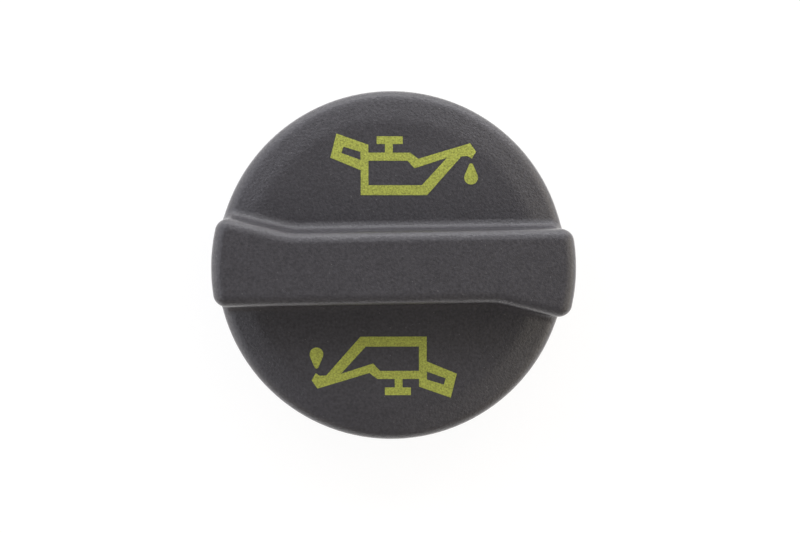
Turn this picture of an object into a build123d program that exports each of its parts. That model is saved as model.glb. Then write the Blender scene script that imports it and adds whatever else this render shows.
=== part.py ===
import os
from math import radians, sin, tan

from build123d import *

os.makedirs("parts", exist_ok=True)

# Disc and skirt, in millimetres; the cap stands on the stem's end face at z = 0
disc_diameter = 62.0
margin_width = 5.5  # sloping border around the printed flat
margin_slope = 9.5
margin_blend = 13.0  # soft bend between the flat and the border
rim_round = 2.3
side_draft = 0.5
disc_rise = 6.5  # printed flat above the plane the filler neck lands on
disc_wall = 2.6
skirt_cover = 4.5  # how far the skirt hangs below that plane
skirt_wall = 2.4
skirt_edge_round = 0.5

# Bar grip, its plan the same when turned end for end
grip_waist = 12.25
grip_height = 14.5  # above the printed flat
grip_skew = 0.85  # lean of the straight sides
flare_start = 17.4  # distance from the axis to the bend of a swept end
flare_angle = 13.3
flare_bend = 11.0
grip_draft = 1.0
grip_base_fillet = 1.8
grip_top_round = 2.0
grip_wall = 2.4
grip_roof = 2.6

# Hollows under the grip
core_corner = 0.8
core_roof_round = 0.6
core_margin = 0.2  # ledge where a hollow starts inside the skirt or the collar

# Stem, collar and bayonet
bore_diameter = 29.2
stem_wall = 2.2
nose_length = 6.0
nose_step = 0.4
nose_chamfer = 0.8
nose_round = 0.3
lug_height = 4.0
lug_span = 56.0
lug_ramp = 1.4  # drop of the cam face at the end that enters first
ramp_length = 7.5
lug_round = 0.6
lug_edge_round = 0.4
stop_width = 1.8
ledge_gap = 4.5  # room for the neck's ledge between lug and collar
collar_length = 6.5
collar_lead = 1.2
groove_wall = 2.4

# Stiffening ribs under the disc, which the neck lands on
rib_count = 5
rib_pitch = 26.0
rib_thickness = 1.6
rib_edge_round = 0.4

# Rubber seal ring
seal_section = 2.6
seal_proud = 0.6  # how far the ring stands out of the collar
seal_side_gap = 0.35
seal_seat_gap = 0.02

# Construction allowances
blank_overrun = 6.0  # disc and grip are worked this much oversize, then turned down together
overlap = 1.0  # how far a cut runs past its face and a joined wall into the next

# Heights
lug_z = nose_length + lug_height
collar_z = lug_z + ledge_gap
seat_z = collar_z + collar_length
seal_z = (collar_z + collar_lead + seat_z) / 2
skirt_z = seat_z - skirt_cover
flat_z = seat_z + disc_rise
underside_z = flat_z - disc_wall
grip_z = flat_z + grip_height
roof_z = grip_z - grip_roof

# Radii and half widths
disc_r = disc_diameter / 2
flat_r = disc_r - margin_width
skirt_inner_r = disc_r - skirt_wall
bore_r = bore_diameter / 2
stem_r = bore_r + stem_wall
nose_r = stem_r - nose_step
groove_r = bore_r + groove_wall
groove_half = seal_section / 2 + seal_side_gap
collar_r = groove_r + seal_section - seal_proud
seal_r = groove_r + seal_seat_gap + seal_section / 2
lug_half = collar_r * sin(radians(lug_span / 2))
blank_r = disc_r + blank_overrun
grip_reach = blank_r + blank_overrun

# Slopes, as rise over run
border_fall = tan(radians(margin_slope))
lean = tan(radians(grip_skew))
sweep_out = tan(radians(flare_angle))
core_taper = (roof_z - underside_z) * tan(radians(grip_draft))
side_taper = (grip_z - skirt_z) * tan(radians(side_draft))

# One side of the grip's plan, and the same line turned half a turn for the other side
heel = (-grip_reach, -grip_reach * lean - grip_waist / 2)
knee = (flare_start, flare_start * lean - grip_waist / 2)
toe = (grip_reach, knee[1] - (grip_reach - flare_start) * sweep_out)
grip_plan = [heel, knee, toe] + [(-x, -y) for x, y in (heel, knee, toe)]

# Wall of the stem where it runs up through the grip
with BuildSketch() as stem_core:
    Circle(collar_r + core_margin + core_taper)
    Circle(bore_r - core_margin - core_taper, mode=Mode.SUBTRACT)

# Bayonet lug: a block with its upper side cut to a cam ramp and a flat, up to the stop that enters last
with BuildPart() as bayonet_lug:
    with BuildSketch(Plane.XY.offset(nose_length)) as lug_plan:
        with BuildLine():
            outer = CenterArc((0, 0), collar_r, -lug_span / 2, lug_span)
            inner = CenterArc((0, 0), stem_r - stem_wall / 2, -lug_span / 2, lug_span)
            Line(outer @ 0, inner @ 0)
            Line(outer @ 1, inner @ 1)
        make_face()
        fillet(lug_plan.vertices().sort_by_distance((0, 0))[-2:], lug_round)
    extrude(amount=lug_height + ledge_gap + collar_lead)
    with BuildSketch(Plane.YZ):
        with BuildLine():
            Polyline(
                (lug_half - stop_width, seat_z),
                (lug_half - stop_width, lug_z),
                (ramp_length - lug_half, lug_z),
                (-lug_half, lug_z - lug_ramp),
                (-lug_half - overlap, lug_z - lug_ramp),
                (-lug_half - overlap, seat_z),
                close=True,
            )
        make_face()
    extrude(amount=collar_r + overlap, mode=Mode.SUBTRACT)
    lug_foot = bayonet_lug.faces().sort_by(Axis.Z)[0]
    fillet(lug_foot.edges().sort_by_distance((0, 0, nose_length))[1:], lug_edge_round)

# Moulded body of the cap
with BuildPart() as cap_body:
    # Disc blank with its sloping border
    with BuildSketch(Plane.XZ) as blank:
        with BuildLine():
            Polyline(
                (0, skirt_z),
                (blank_r, skirt_z),
                (blank_r, flat_z - (blank_r - flat_r) * border_fall),
                (flat_r, flat_z),
                (0, flat_z),
                close=True,
            )
        make_face()
        fillet(blank.vertices().sort_by_distance((flat_r, flat_z))[0], margin_blend)
    revolve(axis=Axis.Z)

    # Bar grip, flowing into the disc through a fillet along each side
    with BuildSketch(Plane.XY.offset(grip_z)) as bar:
        with BuildLine():
            Polyline(*grip_plan, close=True)
        make_face()
        fillet(bar.vertices().sort_by_distance((0, 0))[:2], flare_bend)
    extrude(amount=skirt_z - grip_z, taper=-grip_draft)
    grip_sides = cap_body.faces().filter_by_position(Axis.Z, flat_z, grip_z, (False, False))
    fillet(grip_sides.edges().filter_by_position(Axis.Z, skirt_z + overlap, flat_z), grip_base_fillet)

    # Disc and grip turned down together, so the ends of the grip run flush into the skirt
    with BuildSketch(Plane.XZ):
        with BuildLine():
            Polyline((0, skirt_z), (disc_r, skirt_z), (disc_r - side_taper, grip_z), (0, grip_z), close=True)
        make_face()
    revolve(axis=Axis.Z, mode=Mode.INTERSECT)
    outer_wall = cap_body.faces().filter_by(GeomType.CONE).sort_by(SortBy.AREA)[-1]
    rim = outer_wall.edges().filter_by(GeomType.LINE, reverse=True)
    fillet(rim.filter_by_position(Axis.Z, skirt_z, grip_z, (False, False)), rim_round)
    fillet(cap_body.faces().sort_by(Axis.Z)[-1].edges(), grip_top_round)

    # Open underside between the stem and the skirt
    with BuildSketch(Plane.XZ):
        with BuildLine():
            Polyline(
                (0, skirt_z - overlap),
                (skirt_inner_r, skirt_z - overlap),
                (skirt_inner_r, underside_z - (skirt_inner_r - flat_r) * border_fall),
                (flat_r, underside_z),
                (0, underside_z),
                close=True,
            )
        make_face()
    revolve(axis=Axis.Z, mode=Mode.SUBTRACT)
    fillet(cap_body.faces().sort_by(Axis.Z)[0].edges(), skirt_edge_round)

    # Three hollows in the grip, parted by the wall of the stem
    with BuildSketch(Plane.XY.offset(roof_z)) as hollows:
        with BuildLine():
            Polyline(*grip_plan, close=True)
        make_face()
        offset(amount=-grip_wall, mode=Mode.REPLACE)
        Circle(skirt_inner_r - core_margin - core_taper, mode=Mode.INTERSECT)
        add(stem_core.sketch, mode=Mode.SUBTRACT)
        fillet(hollows.vertices(), core_corner)
    extrude(amount=underside_z - overlap / 2 - roof_z, taper=-grip_draft, mode=Mode.SUBTRACT)
    fillet(cap_body.faces().filter_by(Plane.XY).group_by(Axis.Z)[-2].edges(), core_roof_round)

    # Stem with its nose, the collar and the seal groove
    with BuildSketch(Plane.XZ) as stem:
        with BuildLine():
            Polyline(
                (bore_r, 0),
                (nose_r - nose_chamfer, 0),
                (nose_r, nose_chamfer),
                (nose_r, nose_length),
                (stem_r, nose_length),
                (stem_r, collar_z),
                (collar_r - collar_lead, collar_z),
                (collar_r, collar_z + collar_lead),
                (collar_r, seal_z - groove_half),
                (groove_r, seal_z - groove_half),
                (groove_r, seal_z + groove_half),
                (collar_r, seal_z + groove_half),
                (collar_r, underside_z + overlap),
                (bore_r, underside_z + overlap),
                close=True,
            )
        make_face()
        fillet(stem.vertices().group_by(Axis.Y)[0], nose_round)
    revolve(axis=Axis.Z)

    # Ribs under the disc, clear of the hollows in the grip
    with BuildSketch(Plane.XY.offset(seat_z)):
        first_rib = 90 - rib_pitch * (rib_count - 1) / 2
        for start in (first_rib, first_rib + 180):
            with PolarLocations((collar_r + skirt_inner_r) / 2, rib_count, start, rib_pitch * rib_count):
                Rectangle(skirt_inner_r - collar_r + overlap, rib_thickness)
    extrude(amount=underside_z - seat_z + overlap / 2)
    rib_feet = cap_body.faces().filter_by(Plane.XY).filter_by_position(Axis.Z, seat_z, seat_z)
    fillet(rib_feet.edges().filter_by(GeomType.LINE), rib_edge_round)

    # Bayonet lugs, one under each end of the grip
    with PolarLocations(0, 2):
        add(bayonet_lug.part)

# Rubber ring in the groove of the collar
with BuildPart() as seal_ring:
    with BuildSketch(Plane.XZ):
        with Locations((seal_r, seal_z)):
            Circle(seal_section / 2)
    revolve(axis=Axis.Z)

cap_body.part.label = "cap_body"
export_step(cap_body.part, "parts/cap_body.step")
seal_ring.part.label = "seal_ring"
export_step(seal_ring.part, "parts/seal_ring.step")
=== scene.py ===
from math import asin, cos, pi, radians, sin

import bpy
from mathutils import Matrix, Vector


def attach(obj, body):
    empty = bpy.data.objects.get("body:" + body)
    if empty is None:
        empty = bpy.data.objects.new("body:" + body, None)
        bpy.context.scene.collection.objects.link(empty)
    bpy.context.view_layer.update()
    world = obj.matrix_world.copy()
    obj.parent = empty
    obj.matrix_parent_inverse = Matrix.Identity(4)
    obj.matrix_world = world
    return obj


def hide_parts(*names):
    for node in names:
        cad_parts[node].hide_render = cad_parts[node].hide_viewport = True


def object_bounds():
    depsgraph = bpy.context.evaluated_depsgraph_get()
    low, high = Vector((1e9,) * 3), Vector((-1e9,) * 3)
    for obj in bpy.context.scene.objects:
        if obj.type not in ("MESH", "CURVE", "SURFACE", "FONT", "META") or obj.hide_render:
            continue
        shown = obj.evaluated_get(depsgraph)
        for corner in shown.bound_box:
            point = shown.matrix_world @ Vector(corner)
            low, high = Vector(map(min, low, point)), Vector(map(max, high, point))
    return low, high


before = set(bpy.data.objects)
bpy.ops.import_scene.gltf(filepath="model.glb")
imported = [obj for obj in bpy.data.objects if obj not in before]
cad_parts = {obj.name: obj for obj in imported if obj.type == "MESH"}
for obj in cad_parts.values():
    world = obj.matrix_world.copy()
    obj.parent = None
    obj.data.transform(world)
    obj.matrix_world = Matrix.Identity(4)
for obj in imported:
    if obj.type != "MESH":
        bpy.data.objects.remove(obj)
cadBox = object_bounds()
mm = 0.001
print("frame loaded:", sorted(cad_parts))


# Shader maths: a wrapped socket, and a material that grows nodes from expressions
class Sock:
    def __init__(self, finish, socket):
        self.finish = finish
        self.socket = socket

    def math(self, operation, first, second):
        return self.finish.node("ShaderNodeMath", {"operation": operation}, {0: first, 1: second})

    def __add__(self, other):
        return self.math("ADD", self, other)

    def __sub__(self, other):
        return self.math("SUBTRACT", self, other)

    def __rsub__(self, other):
        return self.math("SUBTRACT", other, self)

    def __mul__(self, other):
        return self.math("MULTIPLY", self, other)

    __radd__ = __add__
    __rmul__ = __mul__


class Finish:
    def __init__(self, owner):
        owner.use_nodes = True
        self.owner = owner
        self.tree = owner.node_tree
        self.shader = self.tree.nodes.get("Principled BSDF") or self.tree.nodes["Background"]

    def feed(self, socket, value):
        if isinstance(value, Sock):
            self.tree.links.new(value.socket, socket)
        else:
            socket.default_value = value

    def node(self, kind, settings, sockets, out=0):
        made = self.tree.nodes.new(kind)
        for key, value in settings.items():
            setattr(made, key, value)
        for key, value in sockets.items():
            self.feed(made.inputs[key], value)
        return Sock(self, made.outputs[out])

    def set(self, **inputs):
        for key, value in inputs.items():
            self.feed(self.shader.inputs[key.replace("_", " ")], value)

    def objectCoords(self):
        return self.node("ShaderNodeTexCoord", {}, {}, "Object")

    def noise(self, coords, size, detail=2.0, rough=0.5):
        sockets = {"Vector": coords, "Scale": 1 / size, "Detail": detail, "Roughness": rough}
        return self.node("ShaderNodeTexNoise", {}, sockets) - 0.5  # swings about zero

    def dots(self, coords, spacing, radius, core=0.6):
        sockets = {"Vector": coords, "Scale": 1 / spacing}
        near = self.node("ShaderNodeTexVoronoi", {"feature": "F1"}, sockets, "Distance")
        edge = radius / spacing
        return self.node("ShaderNodeMapRange", {}, {"Value": near, 1: edge * core, 2: edge, 3: 1.0, 4: 0.0})

    def mixColour(self, factor, first, second):
        return self.node("ShaderNodeMix", {"data_type": "RGBA"}, {0: factor, 6: first, 7: second}, 2)


# Grain of the mould, which the plastic and the print on it share
grain = {"pitch": 0.44 * mm, "detail": 3.0, "breakUp": 0.62, "depth": 0.12 * mm, "strength": 0.8}


def grainBump(finish, coords):
    height = finish.noise(coords, grain["pitch"], grain["detail"], grain["breakUp"])
    sockets = {"Strength": grain["strength"], "Distance": grain["depth"], "Height": height}
    return finish.node("ShaderNodeBump", {}, sockets)


plastic = {
    "dark": (0.0375, 0.0362, 0.0403, 1),
    "light": (0.0661, 0.0638, 0.071, 1),
    "speck": (0.16, 0.156, 0.16, 1),
    "cloud": 9 * mm,
    "cloudSwing": 0.3,
    "mottle": 0.46 * mm,
    "mottleSwing": 1.6,
    "speckSpacing": 1.5 * mm,
    "speckRadius": 0.12 * mm,
    "speckShare": 0.55,
    "roughness": 0.3,
    "roughnessSwing": 0.04,
    "gloss": 0.38,
}


def charcoalPlastic():
    finish = Finish(bpy.data.materials.new("charcoalPlastic"))
    coords = finish.objectCoords()
    cloud = finish.noise(coords, plastic["cloud"], detail=3.0)
    fine = finish.noise(coords, plastic["mottle"], detail=1.0)
    specks = finish.dots(coords, plastic["speckSpacing"], plastic["speckRadius"])
    mottle = 0.5 + cloud * plastic["cloudSwing"] - fine * plastic["mottleSwing"]
    body = finish.mixColour(mottle, plastic["dark"], plastic["light"])
    finish.set(
        Base_Color=finish.mixColour(specks * plastic["speckShare"], body, plastic["speck"]),
        Roughness=plastic["roughness"] - fine * plastic["roughnessSwing"],
        Specular_IOR_Level=plastic["gloss"],
        Normal=grainBump(finish, coords),
    )
    return finish.owner


ink = {
    "deep": (0.179, 0.195, 0.031, 1),
    "bright": (0.418, 0.458, 0.072, 1),
    "mottle": 0.3 * mm,
    "mottleSwing": 1.7,
    "roughness": 0.5,
}


def limeInk():
    finish = Finish(bpy.data.materials.new("limeInk"))
    coords = finish.objectCoords()
    fine = finish.noise(coords, ink["mottle"], detail=1.0)
    mottle = 0.5 + fine * ink["mottleSwing"]
    finish.set(
        Base_Color=finish.mixColour(mottle, ink["deep"], ink["bright"]),
        Roughness=ink["roughness"],
        Normal=grainBump(finish, coords),
    )
    return finish.owner


rubber = {
    "dark": (0.016, 0.016, 0.017, 1),
    "bloom": (0.03, 0.03, 0.0305, 1),
    "cloud": 3 * mm,
    "cloudSwing": 1.8,
    "skin": 0.2 * mm,
    "skinDepth": 0.03 * mm,
    "roughness": 0.62,
    "roughnessSwing": 0.14,
}


def sealRubber():
    finish = Finish(bpy.data.materials.new("sealRubber"))
    coords = finish.objectCoords()
    cloud = finish.noise(coords, rubber["cloud"], detail=4.0)
    skin = finish.noise(coords, rubber["skin"])
    finish.set(
        Base_Color=finish.mixColour(0.5 + cloud * rubber["cloudSwing"], rubber["dark"], rubber["bloom"]),
        Roughness=rubber["roughness"] + cloud * rubber["roughnessSwing"],
        Normal=finish.node("ShaderNodeBump", {}, {"Distance": rubber["skinDepth"], "Height": skin}),
    )
    return finish.owner


def dress(piece, material):
    piece.data.materials.clear()
    piece.data.materials.append(material)
    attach(piece, "root")


# Smooth shells in place of the CAD nodes, whose triangles are loose
shell = {"weld": 0.0005 * mm, "crease": 32}


def smoothShell(node, name):
    bpy.ops.object.select_all(action="DESELECT")
    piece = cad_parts[node].copy()
    piece.data = piece.data.copy()
    piece.name = piece.data.name = name
    for tag in [key for key in piece.keys() if key.startswith("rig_")]:
        del piece[tag]
    piece.parent = None
    bpy.context.scene.collection.objects.link(piece)
    bpy.context.view_layer.objects.active = piece
    piece.select_set(True)
    bpy.ops.mesh.customdata_custom_splitnormals_clear()
    bpy.ops.object.mode_set(mode="EDIT")
    bpy.ops.mesh.select_all(action="SELECT")
    bpy.ops.mesh.remove_doubles(threshold=shell["weld"])
    bpy.ops.mesh.normals_make_consistent(inside=False)
    bpy.ops.object.mode_set(mode="OBJECT")
    bpy.ops.object.shade_smooth_by_angle(angle=radians(shell["crease"]))
    weigh = piece.modifiers.new("faceWeights", "WEIGHTED_NORMAL")
    weigh.keep_sharp = True
    bpy.ops.object.modifier_apply(modifier=weigh.name)
    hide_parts(node)
    return piece


plasticFinish = charcoalPlastic()
capShell = smoothShell("cap_body", "capShell")
dress(capShell, plasticFinish)
sealShell = smoothShell("seal_ring", "sealShell")
dress(sealShell, sealRubber())
print("shells:", len(capShell.data.polygons), len(sealShell.data.polygons), "faces")

# Oil can sign in millimetres from the lower left corner of the can, as it reads from the front of the cap
oilSign = {
    "register": (0.28, -0.02),  # middle of the two signs, off the axis as printed
    "corner": (-5.81, 12.46),  # the can's corner from that middle
    "outline": [
        (0, 0), (11.68, 0), (17.71, 6.82), (18.16, 6.87), (18.91, 6.87), (19.55, 6.42), (20.3, 7.66),
        (19.25, 9.14), (10.12, 6.4), (8.7, 7.47), (5.64, 7.47), (5.64, 8.98), (7.38, 8.98), (7.38, 10.34),
        (2.8, 10.34), (2.8, 8.98), (4.26, 8.98), (4.26, 7.47), (1.34, 7.47), (1.34, 8.85), (-4.26, 10.82),
        (-5.34, 6.58), (0, 4.39),
    ],
    "window": [(1.36, 1.75), (10.76, 1.75), (15.16, 6.57), (9.46, 4.73), (8.24, 6.06), (1.36, 6.06)],
    "handleSlot": [(-3.39, 7.39), (-0.04, 6.19), (-0.04, 7.61), (-3.02, 8.51)],
    "drop": {
        "belly": (19.43, 3.1), "bellyRadius": 1.21,
        "tip": (19.43, 5.22), "tipRadius": 0.38,
        "steps": 12,
    },
    "cuts": ((-5, 21), (0, 11)),  # whole millimetres across and up
    "film": 0.03,
}


def dropOutline(drop):
    rise = drop["tip"][1] - drop["belly"][1]
    lean = asin((drop["bellyRadius"] - drop["tipRadius"]) / rise)  # of the straight flanks
    points = []
    for middle, radius, half, side in (
        (drop["belly"], drop["bellyRadius"], pi / 2 + lean, -1),
        (drop["tip"], drop["tipRadius"], pi / 2 - lean, 1),
    ):
        for step in range(-drop["steps"], drop["steps"] + 1):
            angle = side * pi / 2 + half * step / drop["steps"]
            points.append((middle[0] + radius * cos(angle), middle[1] + radius * sin(angle)))
    return points


def printSign(name, ground):
    bpy.ops.object.select_all(action="DESELECT")
    drawing = bpy.data.curves.new(name, "CURVE")
    drawing.dimensions = "2D"
    drawing.fill_mode = "BOTH"
    loops = [oilSign["outline"], oilSign["window"], oilSign["handleSlot"], dropOutline(oilSign["drop"])]
    for points in loops:
        loop = drawing.splines.new("POLY")
        loop.points.add(len(points) - 1)
        for point, place in zip(loop.points, points):
            point.co = (*place, 0, 1)
        loop.use_cyclic_u = True
    piece = bpy.data.objects.new(name, drawing)
    bpy.context.scene.collection.objects.link(piece)
    bpy.context.view_layer.objects.active = piece
    piece.select_set(True)
    bpy.ops.object.convert(target="MESH")
    piece = bpy.context.object
    bpy.ops.object.mode_set(mode="EDIT")
    bpy.ops.mesh.select_all(action="SELECT")
    bpy.ops.mesh.remove_doubles(threshold=0.001)
    # cut into small fields, so that the film can follow the bend at the border
    for axis, cuts in enumerate(oilSign["cuts"]):
        for place in range(*cuts):
            bpy.ops.mesh.select_all(action="SELECT")
            bpy.ops.mesh.bisect(
                plane_co=[place * float(axis == n) for n in range(3)],
                plane_no=[float(axis == n) for n in range(3)],
            )
    bpy.ops.mesh.select_all(action="SELECT")
    bpy.ops.mesh.normals_make_consistent(inside=False)
    shift = [a + b for a, b in zip(oilSign["register"], oilSign["corner"])]
    bpy.ops.transform.translate(value=(*shift, cadBox[1].z / mm))
    bpy.ops.transform.resize(value=(mm, mm, mm), center_override=(0, 0, 0))
    bpy.ops.object.mode_set(mode="OBJECT")
    lay = piece.modifiers.new("layDown", "SHRINKWRAP")
    lay.target = ground
    lay.wrap_method = "PROJECT"
    lay.use_project_z = True
    lay.use_negative_direction = True
    lay.use_positive_direction = False
    bpy.ops.object.modifier_apply(modifier=lay.name)
    film = piece.modifiers.new("film", "SOLIDIFY")
    film.thickness = 2 * oilSign["film"] * mm
    film.offset = 0
    bpy.ops.object.modifier_apply(modifier=film.name)
    return piece


def turnedCopy(source, name):
    bpy.ops.object.select_all(action="DESELECT")
    source.select_set(True)
    bpy.context.view_layer.objects.active = source
    bpy.ops.object.duplicate(linked=False)
    piece = bpy.context.object
    piece.name = piece.data.name = name
    bpy.ops.object.mode_set(mode="EDIT")
    bpy.ops.mesh.select_all(action="SELECT")
    middle = [value * mm for value in oilSign["register"]] + [0]
    bpy.ops.transform.rotate(value=pi, orient_axis="Z", center_override=middle)
    bpy.ops.object.mode_set(mode="OBJECT")
    return piece


inkFinish = limeInk()
backSign = printSign("oilSignBack", capShell)
frontSign = turnedCopy(backSign, "oilSignFront")
for sign in (backSign, frontSign):
    dress(sign, inkFinish)
print("signs:", len(backSign.data.polygons), "faces each")

# Studio: a pale lit table, strips with softboxes above them on three sides, small boxes at the four corners
studio = {
    "floorSize": 1.3,
    "floorColour": (0.95, 0.95, 0.95, 1),
    "floorRoughness": 0.9,
    "white": 1.05,  # of the floor as the camera sees it
    "floorGlow": 0.55,  # light that the table itself throws up on the cap
    "shadowHeld": 0.2,  # share of the floor's own shading that the camera sees
    "surround": (0.074, 0.072, 0.071, 1),
    "distance": 0.8,
    # turn from straight behind the cap, rise above the floor, width, height, radiance, colour
    "softboxes": {
        "backStrip": (0, 12, 1.6, 0.34, 5.0, (1.0, 1.0, 1.03)),
        "backLight": (0, 52, 1.0, 0.3, 2.2, (1.0, 1.0, 1.03)),
        "leftStrip": (-90, 12, 1.2, 0.34, 2.9, (1.0, 0.99, 1.0)),
        "leftLight": (-94, 46, 0.9, 0.36, 1.95, (0.97, 0.99, 1.06)),
        "leftCorner": (-47, 38, 0.4, 0.4, 1.2, (0.96, 0.99, 1.1)),
        "rightStrip": (90, 12, 1.2, 0.34, 3.15, (1.08, 1.0, 0.86)),
        "rightLight": (98, 51, 0.9, 0.45, 1.55, (1.08, 1.0, 0.86)),
        "rightCorner": (47, 38, 0.4, 0.4, 1.0, (1.0, 1.0, 1.0)),
        "leftFill": (-148, 18, 0.44, 0.4, 0.42, (1.22, 1.0, 0.7)),
        "rightFill": (148, 18, 0.44, 0.4, 0.42, (1.22, 1.0, 0.7)),
    },
}


def layFloor():
    bpy.ops.mesh.primitive_plane_add(size=studio["floorSize"], location=(0, 0, cadBox[0].z))
    floor = bpy.context.object
    floor.name = "floor"
    finish = Finish(bpy.data.materials.new("paleFloor"))
    finish.set(Base_Color=studio["floorColour"], Roughness=studio["floorRoughness"])
    matte = Sock(finish, finish.shader.outputs[0])
    glow = finish.node("ShaderNodeEmission", {}, {"Color": (1, 1, 1, 1), "Strength": studio["floorGlow"]})
    lit = finish.node("ShaderNodeAddShader", {}, {0: matte, 1: glow})
    white = finish.node("ShaderNodeEmission", {}, {"Color": (1, 1, 1, 1), "Strength": studio["white"]})
    backdrop = finish.node("ShaderNodeMixShader", {}, {0: studio["shadowHeld"], 1: white, 2: matte})
    seen = finish.node("ShaderNodeLightPath", {}, {}, "Is Camera Ray")
    top = finish.node("ShaderNodeMixShader", {}, {0: seen, 1: lit, 2: backdrop})
    under = finish.node("ShaderNodeNewGeometry", {}, {}, "Backfacing")
    clear = finish.node("ShaderNodeBsdfTransparent", {}, {})
    both = finish.node("ShaderNodeMixShader", {}, {0: under, 1: top, 2: clear})
    finish.feed(finish.tree.nodes["Material Output"].inputs["Surface"], both)
    floor.data.materials.append(finish.owner)


def hangLights():
    world = bpy.data.worlds.new("surround")
    bpy.context.scene.world = world
    finish = Finish(world)
    seen = finish.node("ShaderNodeLightPath", {}, {}, "Is Camera Ray")
    finish.set(Color=finish.mixColour(seen, studio["surround"], (1, 1, 1, 1)), Strength=1.0)
    aim = Vector((0, 0, cadBox[1].z / 2))
    for name, (turn, rise, width, height, radiance, colour) in studio["softboxes"].items():
        turn, rise = radians(turn), radians(rise)
        out = Vector((sin(turn) * cos(rise), cos(turn) * cos(rise), sin(rise)))
        bpy.ops.object.light_add(type="AREA", location=aim + out * studio["distance"])
        box = bpy.context.object
        box.name = name
        box.rotation_euler = out.to_track_quat("Z", "Y").to_euler()
        box.data.shape = "RECTANGLE"
        box.data.size, box.data.size_y = width, height
        box.data.energy = radiance * pi * width * height
        box.data.color = colour


camera = {
    "place": (-8.04, 8.0, 324.0),  # millimetres, almost straight above the cap
    "aim": (1.49, -0.21, 24.0),
    "lens": 75.82,
    "sensor": 36.0,
    "near": 10.0,
}


def setCamera():
    bpy.ops.object.camera_add(location=Vector(camera["place"]) * mm)
    eye = bpy.context.object
    back = (Vector(camera["place"]) - Vector(camera["aim"])).normalized()
    right = Vector((0, 1, 0)).cross(back).normalized()
    eye.rotation_mode = "QUATERNION"
    eye.rotation_quaternion = Matrix((right, back.cross(right), back)).transposed().to_quaternion()
    eye.data.lens = camera["lens"]
    eye.data.sensor_width = camera["sensor"]
    eye.data.clip_start = camera["near"] * mm
    bpy.context.scene.camera = eye


layFloor()
hangLights()
setCamera()
bpy.context.scene.view_settings.view_transform = "Standard"
print("studio set")
